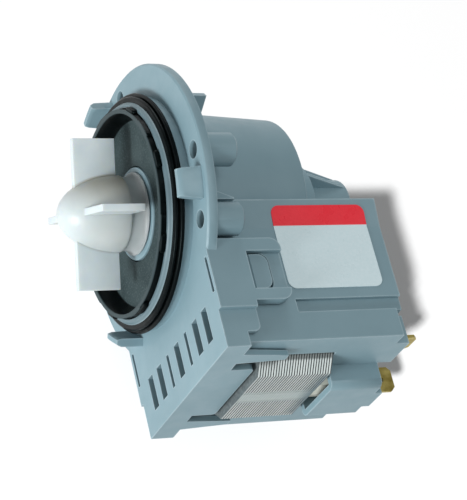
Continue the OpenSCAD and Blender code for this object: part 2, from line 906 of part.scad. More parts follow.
module thrust_washer(x0) {
    color(milky) sleeve(bush_r, shaft_r + fit_gap, x0, x0 + washer_t);
}

module front_thrust_washer() {
    thrust_washer(magnet_x0 - rotor_cap_t - washer_t - fit_gap);
}

module rear_thrust_washer() {
    thrust_washer(magnet_x1 + rotor_cap_t + fit_gap);
}

// Dog on the shaft end, which pushes the impeller round after its free turn
module drive_dog() {
    x0 = cavity_x0 + body_gap;
    x1 = hub_x1 - cap_plug - body_gap;
    color(milky) difference() {
        union() {
            rod(dog_collar_r, x0, x1);
            turned(90 - dog_half_angle, 2 * dog_half_angle) rect(shaft_r + 0.5, dog_r, x0, x1);
        }
        rod(shaft_r + fit_gap, x0 - cut, x1 + cut);
    }
}

// Bullet-shaped hub with flat blades and the cavity of the coupling
module impeller() {
    nose_points = [for (a = [0 : 7.5 : 90]) [hub_r * cos(a), hub_x1 - hub_len * sin(a)]];
    stop_in = dog_collar_r + body_gap;
    color(milky) difference() {
        union() {
            turned() polygon(concat([[0, hub_x1]], nose_points));
            for (i = [0 : blade_count - 1]) at_angle(blade_turn + i * 360 / blade_count)
                along_y(shaft_r, blade_r) rect(blade_x1 - blade_len, blade_x1, -blade_t / 2, blade_t / 2);
        }
        difference() {
            rod(cavity_r, cavity_x0, 0);
            turned(270 - stop_half_angle, 2 * stop_half_angle)
                rect(stop_in, cavity_r + cut, cavity_x0 - cut, hub_x1 - cap_plug - fit_gap);
        }
        rod(shaft_r + fit_gap, shaft_x0 - body_gap, cavity_x0 + cut);
    }
}

// Flared cap that closes the hub and shields the shaft
module impeller_hub_cap() {
    bore_r = shaft_r + fit_gap;
    plug_r = cavity_r - fit_gap;
    x0 = hub_x1 + fit_gap;
    skirt_t = 0.9;
    web_t = 1.6;
    web_x = x0 + web_t;
    neck = hub_r - 0.4;
    flare_len = 2.6;
    flare_x0 = hub_cap_x1 - 0.3 - flare_len;
    flare = [for (a = [0 : 15 : 90]) [
        neck + (cap_skirt_r - neck) * (1 - cos(a)), flare_x0 + flare_len * sin(a)
    ]];
    color(milky) turned() polygon(concat(
        [[bore_r, hub_x1 - cap_plug], [plug_r, hub_x1 - cap_plug], [plug_r, x0], [neck, x0]], flare,
        [[cap_skirt_r, hub_cap_x1], [cap_skirt_r - skirt_t, hub_cap_x1]],
        [[neck - web_t, web_x], [bore_r, web_x]]
    ));
}

// Rubber pads on both faces of the stop in the hub
module dog_damper() {
    r0 = dog_collar_r + body_gap;
    r1 = cavity_r - fit_gap;
    x0 = cavity_x0 + fit_gap;
    x1 = hub_x1 - cap_plug - fit_gap;
    pad_gap = 0.5;
    color(rubber_black) {
        turned(270 + stop_half_angle + pad_gap, damper_angle - pad_gap) rect(r0, r1, x0, x1);
        turned(270 - stop_half_angle - damper_angle, damper_angle - pad_gap) rect(r0, r1, x0, x1);
    }
}

pump_body();
stator_hood();
stator_case();
rating_label();
flange_seal();
bearing_shield();
shield_seal();
front_bearing_carrier();
front_bush_mount();
front_bush();
rear_bush_mount();
rear_bush();
stator_core();
label_side_bobbin();
far_side_bobbin();
label_side_winding();
far_side_winding();
label_side_terminal();
far_side_terminal();
rotor_shaft();
rotor_carrier();
rotor_magnet();
rotor_end_cap();
front_thrust_washer();
rear_thrust_washer();
drive_dog();
impeller();
impeller_hub_cap();
dog_damper();
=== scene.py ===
# %% [markdown]
# A washer drain pump lies on its side on a white table, label up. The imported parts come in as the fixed
# frame. This script softens the moulded edges, gives every part its finish, winds the two coils turn by
# turn, adds the clips on the rim of the dish, and lights the pump as in the photograph.

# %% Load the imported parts
import json

import bpy
import numpy as np
from mathutils import Matrix, Vector


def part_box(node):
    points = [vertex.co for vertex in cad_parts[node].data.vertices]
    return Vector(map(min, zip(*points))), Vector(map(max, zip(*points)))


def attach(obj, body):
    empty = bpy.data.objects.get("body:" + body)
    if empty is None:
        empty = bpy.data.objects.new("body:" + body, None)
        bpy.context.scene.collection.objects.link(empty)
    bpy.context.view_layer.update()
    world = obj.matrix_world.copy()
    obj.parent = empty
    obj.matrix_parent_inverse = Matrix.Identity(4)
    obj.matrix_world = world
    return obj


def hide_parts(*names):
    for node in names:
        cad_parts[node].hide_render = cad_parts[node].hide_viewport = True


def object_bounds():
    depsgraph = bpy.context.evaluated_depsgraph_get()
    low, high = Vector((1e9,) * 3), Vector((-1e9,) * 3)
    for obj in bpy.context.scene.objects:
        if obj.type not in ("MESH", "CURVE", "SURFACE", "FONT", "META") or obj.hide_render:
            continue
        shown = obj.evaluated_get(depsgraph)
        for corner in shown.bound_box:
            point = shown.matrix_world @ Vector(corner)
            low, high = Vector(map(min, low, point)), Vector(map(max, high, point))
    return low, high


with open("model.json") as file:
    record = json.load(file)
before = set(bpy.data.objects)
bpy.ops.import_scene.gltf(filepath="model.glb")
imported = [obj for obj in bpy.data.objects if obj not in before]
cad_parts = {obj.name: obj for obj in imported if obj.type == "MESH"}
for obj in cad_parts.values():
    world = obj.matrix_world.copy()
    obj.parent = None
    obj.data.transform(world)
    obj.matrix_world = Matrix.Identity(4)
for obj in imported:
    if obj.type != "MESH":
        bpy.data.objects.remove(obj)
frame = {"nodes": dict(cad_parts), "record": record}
nodes = frame["nodes"]
cad_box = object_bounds()
MM = 0.001
print("parts", len(nodes))

# %% [markdown]
# The camera was worked out from points of known place on the flange and the case. Its three directions and
# its distance are the result of that fit, so they are written as numbers.

# %% Camera at the photograph's angle
camera_data = bpy.data.cameras.new("camera")
camera = bpy.data.objects.new("camera", camera_data)
bpy.context.scene.collection.objects.link(camera)
camera_right = (0.902, -0.224, 0.370)
camera_up = (0.020, 0.876, 0.482)
camera_back = (-0.432, -0.428, 0.794)
camera_place = (-0.1742, -0.2028, 0.3578)
turn = Matrix((camera_right, camera_up, camera_back)).transposed().to_4x4()
camera.matrix_world = Matrix.Translation(camera_place) @ turn
camera_data.lens = 137.29
camera_data.sensor_width = 36
camera_data.clip_start = 0.01
bpy.context.scene.camera = camera
print("camera", tuple(round(v, 3) for v in camera.location))

# %% [markdown]
# Moulded plastic never has a knife edge: the tool leaves a small radius on every corner, and that radius is
# what catches the light. It could be drawn into the solids, at the price of thousands of tiny faces. A Weld
# modifier closes the loose triangles of a part, and a Bevel modifier then rounds only the edges that turn
# by more than a set angle, so flat and drafted walls stay as they are.

# %% Soft edges on the moulded and stamped parts
EDGE_ANGLE = 0.6  # radians, about 34 degrees
WELD_REACH = 0.004 * MM


def soften_edges(node, radius, steps=2):
    """Rounds the sharp edges of a part: weld the triangles, then bevel by a radius in metres."""
    part = nodes[node]
    weld = part.modifiers.new("weld", "WELD")
    weld.merge_threshold = WELD_REACH
    edge = part.modifiers.new("edge", "BEVEL")
    edge.width = radius
    edge.segments = steps
    edge.limit_method = "ANGLE"
    edge.angle_limit = EDGE_ANGLE
    edge.use_clamp_overlap = True
    edge.harden_normals = True


edge_radius = {
    "pump_body": 0.22, "stator_case": 0.3, "stator_hood": 0.25, "bearing_shield": 0.15,
    "front_bearing_carrier": 0.2, "impeller": 0.2, "impeller_hub_cap": 0.15,
    "label_side_terminal": 0.12, "far_side_terminal": 0.12,
}
for node, radius in edge_radius.items():
    soften_edges(node, radius * MM)
print("softened", len(edge_radius))

# %% [markdown]
# Every finish below is procedural and reads the part's own Object coordinates, in metres, so the grain
# keeps its real size and stays fixed to the part when it turns. A small class keeps the node wiring in one
# place: a noise gives a factor from 0 to 1, and that factor drives the colour, the roughness or the bump.

# %% A finish and its patterns
# A Mix node has sockets of the same name for numbers and colours, so those for colours go by their place.
MIX_FIRST, MIX_SECOND, MIX_RESULT = 6, 7, 2
finishes = {}


def srgb(red, green, blue):
    """Turns a colour of 0 to 255 as seen on a screen into the linear colour a shader takes."""
    shown = np.array((red, green, blue)) / 255
    linear = np.where(shown <= 0.04045, shown / 12.92, ((shown + 0.055) / 1.055) ** 2.4)
    return (*(float(v) for v in linear), 1)


class Finish:
    """One material: a Principled shader whose patterns all read Object coordinates."""

    def __init__(self, name, colour, roughness, **sockets):
        self.material = bpy.data.materials.new(name)
        self.material.use_nodes = True
        self.tree = self.material.node_tree
        self.shader = self.tree.nodes["Principled BSDF"]
        self.shader.inputs["Base Color"].default_value = colour
        self.shader.inputs["Roughness"].default_value = roughness
        for socket, value in sockets.items():
            self.shader.inputs[socket.replace("_", " ")].default_value = value
        self.place = self.node("ShaderNodeTexCoord").outputs["Object"]

    def node(self, kind, **settings):
        made = self.tree.nodes.new(kind)
        for key, value in settings.items():
            setattr(made, key, value)
        return made

    def join(self, source, target):
        self.tree.links.new(source, target)

    def stretched(self, scale, shift=(0, 0, 0)):
        """Object coordinates with each axis multiplied, then moved, so that a pattern is drawn out."""
        mapping = self.node("ShaderNodeMapping")
        mapping.inputs["Scale"].default_value = scale
        mapping.inputs["Location"].default_value = shift
        self.join(self.place, mapping.inputs["Vector"])
        return mapping.outputs["Vector"]

    def along(self, axis, place=None):
        """One coordinate of a place, as a plain number."""
        split = self.node("ShaderNodeSeparateXYZ")
        self.join(place or self.place, split.inputs["Vector"])
        return split.outputs[axis]

    def noise(self, grain_mm, detail=3, place=None):
        """A soft random factor from 0 to 1 whose lumps are about grain_mm across."""
        texture = self.node("ShaderNodeTexNoise")
        texture.inputs["Scale"].default_value = 1 / (grain_mm * MM)
        texture.inputs["Detail"].default_value = detail
        self.join(place or self.place, texture.inputs["Vector"])
        return texture.outputs["Fac"]

    def spread(self, factor, low, high, start=0.3, end=0.7):
        """Carries a factor between start and end over to the range low to high."""
        scale = self.node("ShaderNodeMapRange")
        for socket, value in (("From Min", start), ("From Max", end), ("To Min", low), ("To Max", high)):
            scale.inputs[socket].default_value = value
        self.join(factor, scale.inputs["Value"])
        return scale.outputs["Result"]

    def length(self, place):
        """How far a place is from the origin."""
        measure = self.node("ShaderNodeVectorMath", operation="LENGTH")
        self.join(place, measure.inputs[0])
        return measure.outputs["Value"]

    def times(self, first, second):
        """Two factors multiplied: full only where both are."""
        product = self.node("ShaderNodeMath", operation="MULTIPLY")
        self.join(first, product.inputs[0])
        self.join(second, product.inputs[1])
        return product.outputs["Value"]

    def edges(self, reach_mm):
        """A factor that rises towards outer edges, where a short look inwards soon leaves the solid."""
        look = self.node("ShaderNodeAmbientOcclusion", inside=True, only_local=True, samples=8)
        look.inputs["Distance"].default_value = reach_mm * MM
        return self.spread(look.outputs["AO"], 1, 0, 0.5, 0.85)

    def mix(self, factor, first, second):
        """A colour between first and second; either may be a colour or another node's output."""
        mixer = self.node("ShaderNodeMix", data_type="RGBA")
        self.join(factor, mixer.inputs["Factor"])
        for socket, value in ((mixer.inputs[MIX_FIRST], first), (mixer.inputs[MIX_SECOND], second)):
            if isinstance(value, tuple):
                socket.default_value = value
            else:
                self.join(value, socket)
        return mixer.outputs[MIX_RESULT]

    def colour(self, source):
        self.join(source, self.shader.inputs["Base Color"])

    def roughness(self, source):
        self.join(source, self.shader.inputs["Roughness"])

    def relief(self, factor, depth_mm):
        """A bump whose full swing is depth_mm."""
        bump = self.node("ShaderNodeBump")
        bump.inputs["Distance"].default_value = depth_mm * MM
        self.join(factor, bump.inputs["Height"])
        self.join(bump.outputs["Normal"], self.shader.inputs["Normal"])

    def keep(self, slot):
        """Stores the finish under the name of the material slot that it is for."""
        finishes[slot] = self
        print(slot, len(self.tree.nodes), "nodes")


# %% [markdown]
# The housing is a blue-grey filled plastic, satin and a little cloudy. Filler streaks show as faint lighter
# patches, and the eroded tool surface gives a fine even grain, so two noises of very different size are
# used. The walls of the screw holes get painted shade. Each hole is a mount of the record, so its place
# and radius come from there: the distance from its axis, counted in radii, is below one inside the hole.
# The outer edges get a painted highlight, paler in some places than in others. The lip of the spigot
# stands in the water and is stained darker; it is found by its distance from the axis, in front of the
# flange.

# %% Blue-grey housing plastic
HOLE_EDGE = 0.5 * MM
HOLE_SHADE_FULL, HOLE_SHADE_NONE = 1.03, 1.08
LIP_INNER, LIP_OUTER = 23 * MM, 26.3 * MM
LIP_BACK = -4.2 * MM
LIP_FADE = 0.5 * MM
body = Finish("body_plastic", srgb(126, 155, 165), 0.48)
patches = body.spread(body.noise(14), 0, 1)
plastic = body.mix(patches, srgb(123, 152, 162), srgb(130, 159, 169))
below_face = body.spread(body.along("X"), 0, 1, HOLE_EDGE, 2 * HOLE_EDGE)
for hole in [mount for mount in frame["record"]["mounts"] if mount["kind"] == "bore"]:
    radius = hole["dims"]["r_mm"] * MM
    _, y, z = (-place / radius for place in hole["pos_m"])
    radii_off = body.length(body.stretched((0, 1 / radius, 1 / radius), (0, y, z)))
    # Painted shade on the walls inside each screw hole.
    painted_hole_shade = body.spread(radii_off, 1, 0, HOLE_SHADE_FULL, HOLE_SHADE_NONE)
    plastic = body.mix(body.times(painted_hole_shade, below_face), plastic, srgb(74, 94, 101))
from_axis = body.length(body.stretched((0, 1, 1)))
lip = body.times(
    body.spread(from_axis, 0, 1, LIP_INNER - LIP_FADE, LIP_INNER),
    body.spread(from_axis, 1, 0, LIP_OUTER, LIP_OUTER + LIP_FADE),
)
lip = body.times(lip, body.spread(body.along("X"), 0.9, 0, LIP_BACK - LIP_FADE, LIP_BACK))
# Painted highlight along the outer edges, in patches.
painted_edge_highlight = body.times(body.edges(0.5), body.spread(body.noise(4), 0.35, 0.8))
edge_lit_plastic = body.mix(painted_edge_highlight, plastic, srgb(176, 199, 206))
body.colour(body.mix(lip, edge_lit_plastic, srgb(98, 121, 129)))
body.roughness(body.spread(body.noise(3), 0.42, 0.55))
body.relief(body.noise(0.35, 2), 0.012)
body.keep("body_plastic")

# %% [markdown]
# The dish behind the impeller is a mineral-filled black plastic. Its wall is smooth and black, darkened
# further by painted shade, and the water has washed the floor grey, with pale filler specks. The front edge
# of the rim gets a painted grey sheen. Both are found by their depth along X, from the part's own box, and
# a fine noise cut off high gives the specks.

# %% Speckled dish plastic
FLOOR_THICKNESS = 1.4 * MM
FLOOR_NONE, FLOOR_FULL = 0.3 * MM, 0.1 * MM
RIM_SHEEN_EDGE = 0.15 * MM
COOL_SHEEN = (0.7, 0.95, 1, 1)
shield_low, shield_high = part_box("bearing_shield")
floor_x = shield_high.x - FLOOR_THICKNESS
dish = Finish("dark_plastic", srgb(30, 36, 37), 0.5, Specular_IOR_Level=0.05, Specular_Tint=COOL_SHEEN)
specks = dish.spread(dish.noise(0.45, 4), 0, 1, 0.52, 0.72)
haze = dish.spread(dish.noise(7), 0, 1)
hazy = dish.mix(haze, srgb(51, 64, 66), srgb(69, 83, 85))
washed = dish.mix(specks, hazy, srgb(85, 98, 100))
# The wall is black, darkened by painted shade; the front face of the rim gets a painted grey sheen.
on_floor = dish.spread(dish.along("X"), 0, 1, floor_x - FLOOR_NONE, floor_x - FLOOR_FULL)
rim_front_sheen = dish.spread(dish.along("X"), 1, 0, shield_low.x + RIM_SHEEN_EDGE, shield_low.x + 2 * RIM_SHEEN_EDGE)
wall_shade_rim_sheen = dish.mix(rim_front_sheen, srgb(4, 8, 9), srgb(62, 75, 78))
dish.colour(dish.mix(on_floor, wall_shade_rim_sheen, washed))
dish.roughness(dish.spread(on_floor, 0.34, 0.58, 0, 1))
dish.relief(dish.noise(0.4, 2), 0.03)
dish.keep("dark_plastic")

# %% [markdown]
# The seals and mounts are black rubber: dark, with a dull sheen and a little talc dust left in patches. A
# noise with many fine levels, cut off below its middle, gives the patches.

# %% Black rubber
rubber = Finish("rubber", srgb(7, 9, 10), 0.5, Specular_IOR_Level=0.07, Specular_Tint=COOL_SHEEN)
dust = rubber.spread(rubber.noise(1.6, 4), 0, 1, 0.5, 0.8)
rubber.colour(rubber.mix(dust, srgb(5, 8, 9), srgb(14, 18, 19)))
rubber.roughness(rubber.spread(rubber.noise(1.2), 0.26, 0.38))
rubber.relief(rubber.noise(0.3, 2), 0.01)
rubber.keep("rubber")

# %% [markdown]
# The impeller is unfilled white plastic, a little see-through: light enters it, scatters and leaves it
# warm. Subsurface scattering does that with a depth of a millimetre or two, longest for red. The hub is
# hollow and holds the drive dog. It gets a warm painted shade, most at the back and on its upper side. The
# hub is half an ellipsoid, so a place counted in its three radii is one away from its middle on the hub and
# more on the blades.

# %% Milky impeller plastic
HUB_RADIUS = 9 * MM
HUB_FULL, HUB_NONE = 1.01, 1.06
HUB_SHADE_START, HUB_SHADE_END = 17 * MM, 7 * MM
HUB_SHADE_BELOW, HUB_SHADE_ABOVE = -3 * MM, 5 * MM
impeller_low, impeller_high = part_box("impeller")
hub_back, hub_length = impeller_high.x, impeller_high.x - impeller_low.x
milk = Finish(
    "impeller_plastic", srgb(212, 221, 222), 0.36,
    Subsurface_Weight=0.6, Subsurface_Radius=(1.0, 0.8, 0.55), Subsurface_Scale=1.6 * MM,
)
flow = milk.spread(milk.noise(6), 0, 1)
white = milk.mix(flow, srgb(211, 224, 228), srgb(220, 232, 236))
hub_radii = (1 / hub_length, 1 / HUB_RADIUS, 1 / HUB_RADIUS)
radii_away = milk.length(milk.stretched(hub_radii, (-hub_back / hub_length, 0, 0)))
on_hub = milk.spread(radii_away, 1, 0, HUB_FULL, HUB_NONE)
# Painted warm shade on the hub, strongest towards its back and on its upper side.
toward_hub_back = milk.spread(milk.along("X"), 0, 1, hub_back - HUB_SHADE_START, hub_back - HUB_SHADE_END)
painted_upper_shade = milk.spread(milk.along("Y"), 0.38, 0.95, HUB_SHADE_BELOW, HUB_SHADE_ABOVE)
painted_hub_shade = milk.times(milk.times(on_hub, toward_hub_back), painted_upper_shade)
milk.colour(milk.mix(painted_hub_shade, white, srgb(172, 172, 160)))
milk.roughness(milk.spread(milk.noise(2.5), 0.3, 0.44))
milk.relief(milk.noise(0.8, 2), 0.008)
milk.keep("impeller_plastic")

# %% [markdown]
# The hub cap is of the same plastic but thin, so it lets more light through and looks greyer. Its
# scattering goes deeper and is alike for all colours, or its shaded side would turn pink.

# %% Thin hub cap
cap = Finish(
    "cap_plastic", srgb(192, 204, 206), 0.4,
    Subsurface_Weight=1.0, Subsurface_Radius=(1.0, 1.0, 1.0), Subsurface_Scale=5 * MM,
)
cap.colour(cap.mix(cap.spread(cap.noise(4), 0, 1), srgb(187, 200, 202), srgb(198, 210, 212)))
cap.roughness(cap.spread(cap.noise(2), 0.34, 0.48))
cap.relief(cap.noise(0.8, 2), 0.008)
print("cap_plastic", len(cap.tree.nodes), "nodes")

# %% [markdown]
# The bobbins that carry the coils are white plastic with a touch of green. Only a strip of one shows,
# through the opening behind the core, so a soft change of tone and a fine grain are enough.

# %% White bobbin plastic
bobbin = Finish("bobbin_plastic", srgb(218, 222, 212), 0.5)
bobbin.colour(bobbin.mix(bobbin.spread(bobbin.noise(5), 0, 1), srgb(209, 214, 203), srgb(223, 228, 219)))
bobbin.roughness(bobbin.spread(bobbin.noise(2), 0.42, 0.58))
bobbin.relief(bobbin.noise(0.4, 2), 0.01)
bobbin.keep("bobbin_plastic")

# %% [markdown]
# The core is a stack of stamped steel sheets. Their cut edges are bright, with a dark line between each
# two, and the sheets differ in tone. The fraction of a count of sheets along X tells edge from gap, and a
# noise that is drawn out along the sheets gives the tones. The gap laps over the groove's lit wall, or
# every wall would shine.

# %% Stamped core sheets
SHEETS = 28
GROOVE_LAP = 0.06
GAP_START, GAP_FULL = 0.58, 0.66
core_low, core_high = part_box("stator_core")
pitch = (core_high.x - core_low.x) / SHEETS
core = Finish("core_steel", srgb(170, 172, 168), 0.4, Metallic=0.15, Specular_IOR_Level=0.25)
count = core.stretched((1 / pitch, 1, 1), (-core_low.x / pitch - GROOVE_LAP, 0, 0))
step = core.node("ShaderNodeMath", operation="FRACT")
core.join(core.along("X", count), step.inputs[0])
gap = core.spread(step.outputs["Value"], 0, 1, GAP_START, GAP_FULL)
sheet_tone = core.spread(core.noise(0.5, 1, core.stretched((1, 0.02, 0.02))), 0, 1)
cut_edge = core.mix(sheet_tone, srgb(174, 184, 183), srgb(192, 199, 198))
sheets = core.mix(gap, cut_edge, srgb(62, 67, 67))
print("sheets", SHEETS, "of", round(pitch / MM, 3), "mm")

# %% [markdown]
# Near the case the core gets painted dark shade, from a line above its lowest face up to where it goes in
# under the case, and the last sheets at the rear get a painted bluish shade. A weld seam runs across the
# middle of the yoke and closes the gaps there, and the broad front face keeps its insulating coat. Each is
# a layer over the sheets, found by its place in the core's own box.

# %% Painted shade, weld seam and coat on the core
SHADE_LINE_HEIGHT, SHADE_LINE_FADE = 2.6 * MM, 0.2 * MM
SEAM_HALF, SEAM_FADE = 2.9 * MM, 0.3 * MM
REAR_SHADE_START, REAR_SHADE_FULL = 3.5 * MM, 0.8 * MM
REAR_SHADE_HALF, REAR_SHADE_END = 9.5 * MM, 11 * MM
COAT_FULL, COAT_NONE = 0.05 * MM, 0.12 * MM
shade_line_y = core_low.y + SHADE_LINE_HEIGHT
# Painted dark shade on the core above a line near its lowest face, where it goes in under the case.
painted_case_shade = core.spread(core.along("Y"), 0, 0.7, shade_line_y - SHADE_LINE_FADE, shade_line_y + SHADE_LINE_FADE)
sheets = core.mix(painted_case_shade, sheets, srgb(48, 56, 57))
across = core.length(core.stretched((0, 0, 1)))
seam = core.spread(across, 0.85, 0, SEAM_HALF - SEAM_FADE, SEAM_HALF)
sheets = core.mix(seam, sheets, srgb(162, 174, 173))
# Painted bluish shade on the last sheets at the rear, across the bottom face short of the chamfers.
rear_shade_ramp = core.spread(core.along("X"), 0, 0.7, core_high.x - REAR_SHADE_START, core_high.x - REAR_SHADE_FULL)
painted_rear_shade = core.times(rear_shade_ramp, core.spread(across, 1, 0, REAR_SHADE_HALF, REAR_SHADE_END))
sheets = core.mix(painted_rear_shade, sheets, srgb(92, 110, 116))
coat = core.spread(core.along("X"), 1, 0, core_low.x + COAT_FULL, core_low.x + COAT_NONE)
mottle = core.mix(core.spread(core.noise(0.8, 4), 0, 1), srgb(92, 101, 104), srgb(118, 127, 128))
core.colour(core.mix(coat, sheets, mottle))
core.roughness(core.spread(core.noise(0.9), 0.32, 0.5))
core.relief(core.noise(0.3, 2), 0.006)
core.keep("core_steel")

# %% [markdown]
# The push-on terminals are rolled brass gone olive with age. Rolling leaves fine lines along the strip.

# %% Aged brass
brass = Finish("terminal_brass", srgb(166, 150, 80), 0.36, Metallic=0.85)
tarnish = brass.spread(brass.noise(2.2, 4), 0, 1)
brass.colour(brass.mix(tarnish, srgb(140, 124, 58), srgb(190, 176, 106)))
rolled = brass.noise(0.12, 2, brass.stretched((0.05, 1, 1)))
brass.roughness(brass.spread(rolled, 0.28, 0.5))
brass.relief(rolled, 0.006)
brass.keep("terminal_brass")

# %% [markdown]
# The rating label is a printed film: a red band above a pale panel, with nothing written on it here. The
# border between the two is a height in Y, measured from the label's own box.

# %% Label film
BAND_HEIGHT = 4.9 * MM
PRINT_EDGE = 0.05 * MM
_, label_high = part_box("rating_label")
film = Finish("label", srgb(215, 229, 233), 0.3, Coat_Weight=0.25, Coat_Roughness=0.2)
border = label_high.y - BAND_HEIGHT
band = film.spread(film.along("Y"), 0, 1, border - PRINT_EDGE, border + PRINT_EDGE)
fibre = film.spread(film.noise(0.5, 4), 0, 1)
panel = film.mix(fibre, srgb(214, 236, 241), srgb(221, 240, 245))
print_red = film.mix(fibre, srgb(243, 31, 52), srgb(249, 39, 58))
film.colour(film.mix(band, panel, print_red))
film.roughness(film.spread(film.noise(4), 0.24, 0.36))
film.relief(film.noise(5, 2), 0.01)
film.keep("label")

# %% [markdown]
# The pieces inside get finishes of their own too: sintered bushes, a ground shaft, a ferrite magnet and
# enamelled copper. They show when the pump is taken apart.

# %% Finishes of the inner pieces
graphite = Finish("bush_graphite", srgb(52, 52, 54), 0.48, Metallic=0.2)
graphite.colour(graphite.mix(
    graphite.spread(graphite.noise(0.3, 4), 0, 1), srgb(38, 38, 40), srgb(78, 78, 80)))
graphite.relief(graphite.noise(0.25, 3), 0.02)
graphite.keep("bush_graphite")

ground = Finish("shaft_steel", srgb(196, 198, 200), 0.22, Metallic=1.0)
rings = ground.noise(0.08, 2, ground.stretched((1, 0.1, 0.1)))
ground.colour(ground.mix(ground.spread(rings, 0, 1), srgb(186, 188, 190), srgb(208, 210, 212)))
ground.roughness(ground.spread(rings, 0.16, 0.3))
ground.keep("shaft_steel")

ferrite = Finish("magnet_ferrite", srgb(58, 58, 61), 0.5, Metallic=0.3)
ferrite.colour(ferrite.mix(
    ferrite.spread(ferrite.noise(0.6, 5), 0, 1), srgb(46, 46, 49), srgb(74, 74, 77)))
ferrite.relief(ferrite.noise(0.5, 4), 0.04)
ferrite.keep("magnet_ferrite")

copper = Finish("winding_copper", srgb(150, 82, 44), 0.3, Metallic=0.75, Coat_Weight=0.5)
copper.colour(copper.mix(
    copper.spread(copper.noise(3, 3), 0, 1), srgb(134, 70, 36), srgb(172, 98, 54)))
copper.roughness(copper.spread(copper.noise(0.8), 0.24, 0.4))
copper.keep("winding_copper")

# %% [markdown]
# Each part names its material slot in the record, so one loop puts the finishes on. The hub cap shares the
# impeller's slot and gets its own finish after that.

# %% Put the finishes on the parts
for subpart in frame["record"]["subparts"]:
    part = nodes[subpart["node"]]
    part.material_slots[0].material = finishes[subpart["material_slot"]].material
nodes["impeller_hub_cap"].material_slots[0].material = cap.material

# %% [markdown]
# Each coil is wound from one enamelled wire, laid turn beside turn while it climbs the bobbin. A bare block
# would hide that, and a wire modelled as a tube would need millions of faces for all its layers. Only the
# outer layer is ever seen, so one closed skin is enough: its outside swells once for every turn, and the
# swelling climbs by one wire on each round, as the real winding does.

# %% Wound coils
BUILD_UP = 3.2 * MM
BORE_GAP = 0.1 * MM
WIRE = 0.56 * MM


def wound_coil(name, low, high, steps=6, bend=6, straight=14):
    """
    Skin of a coil in the box low to high. Going round, a point is a corner of the bore plus reach times an
    outward direction, so straights and bends join smoothly. The reach at a height is the build-up less half
    a wire, plus the half circle of the turn that lies there; the turns climb one wire per round.
    """
    y0, y1 = low.y, high.y
    turns = round((y1 - y0) / WIRE)
    wire = (y1 - y0) / turns
    x_in = np.array((low.x + BUILD_UP, high.x - BUILD_UP))
    z_in = np.array((low.z + BUILD_UP, high.z - BUILD_UP))
    bend_angle = np.linspace(0, np.pi / 2, bend)
    corners = ((1, 1), (0, 1), (0, 0), (1, 0))
    angle = np.concatenate([bend_angle + i * np.pi / 2 for i in range(4)])
    base = np.concatenate([np.tile((x_in[i], z_in[k]), (bend, 1)) for i, k in corners])
    out = np.column_stack((np.cos(angle), np.sin(angle)))
    last = np.arange(bend - 1, 4 * bend, bend)
    share = np.linspace(0, 1, straight + 2)[1:-1, None]
    after = (last + 1) % (4 * bend)
    fill_base = [base[a] + share * (base[b] - base[a]) for a, b in zip(last, after)]
    fill_out = [np.tile(out[a], (straight, 1)) for a in last]
    base = np.concatenate([v for i in range(4) for v in (base[i * bend:(i + 1) * bend], fill_base[i])])
    out = np.concatenate([v for i in range(4) for v in (out[i * bend:(i + 1) * bend], fill_out[i])])
    around = len(base)
    climb = np.arange(around) / around

    height = np.linspace(y0, y1, turns * steps + 1)
    phase = ((height[:, None] - y0) / wire + climb) % 1 - 0.5
    swell = np.sqrt(np.maximum(0.25 - phase ** 2, 0)) * wire
    reach = BUILD_UP - wire / 2 + swell
    flat = np.full((1, around), BORE_GAP)
    reach = np.concatenate((flat, reach, flat))
    height = np.concatenate(((y0,), height, (y1,)))
    points = np.empty((len(height), around, 3))
    points[:, :, 0] = base[:, 0] + reach * out[:, 0]
    points[:, :, 1] = height[:, None]
    points[:, :, 2] = base[:, 1] + reach * out[:, 1]

    row, column = np.meshgrid(np.arange(len(height)), np.arange(around), indexing="ij")
    row_next, column_next = (row + 1) % len(height), (column + 1) % around
    quads = np.stack((
        row * around + column, row_next * around + column,
        row_next * around + column_next, row * around + column_next,
    ), axis=-1).reshape(-1, 4)
    mesh = bpy.data.meshes.new(name)
    mesh.from_pydata(points.reshape(-1, 3), [], quads)
    mesh.polygons.foreach_set("use_smooth", np.ones(len(quads), dtype=bool))
    mesh.materials.append(finishes["winding_copper"].material)
    coil = bpy.data.objects.new(name, mesh)
    bpy.context.scene.collection.objects.link(coil)
    print(name, turns, "turns,", len(quads), "faces")
    return coil


coils = []
for side in ("label_side", "far_side"):
    winding = side + "_winding"
    coil = wound_coil(side + "_coil", *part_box(winding))
    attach(coil, "housing")
    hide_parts(winding)
    coils.append(coil)

# %% [markdown]
# Small clips on the rim of the dish snap over the lip of the spigot. They could be boxes with a bevel, but
# boxes don't follow the round rim. So each is a short bar bent round the axis: a rounded square section is
# carried along an arc, and it shrinks at both ends, so the clip has soft ends.

# %% Clips on the dish rim
CLIPS = 8
CLIP_ARC = np.radians(11)
CLIP_END = 0.999
CLIP_LIFT = 0.25 * MM
LIP_DEPTH = 1.47 * MM
CLIP_BASE = 0.5 * MM
CLIP_REACH = 0.6 * MM


